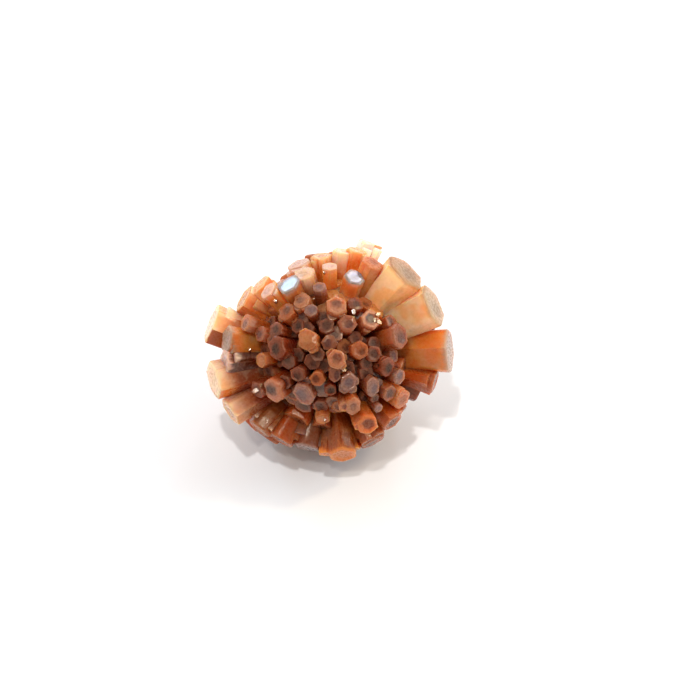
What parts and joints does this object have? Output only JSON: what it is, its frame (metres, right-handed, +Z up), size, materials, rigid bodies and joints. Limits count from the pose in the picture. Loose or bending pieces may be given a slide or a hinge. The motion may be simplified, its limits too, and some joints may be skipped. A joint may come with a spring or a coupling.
{
  "type": "aragonite sputnik cluster",
  "caption": "Natural aragonite crystal cluster: hexagonal columns with flat ends radiating from one centre and grown together, resting on a flat column end.",
  "frame": {"origin": "middle of the flat end of the column that the cluster stands on", "axes": "+Z up from the surface it rests on; +X to the right of the display side; the display side faces -Y and looks 50 degrees up"},
  "size_m": [0.0277, 0.023, 0.0226],
  "materials": {
    "aragonite": "translucent rust-orange crystal with a glassy lustre, lengthwise growth streaks and pale, zoned column ends"
  },
  "bodies": {
    "root": {"aragonite_cluster": "aragonite"}
  },
  "joints": []
}
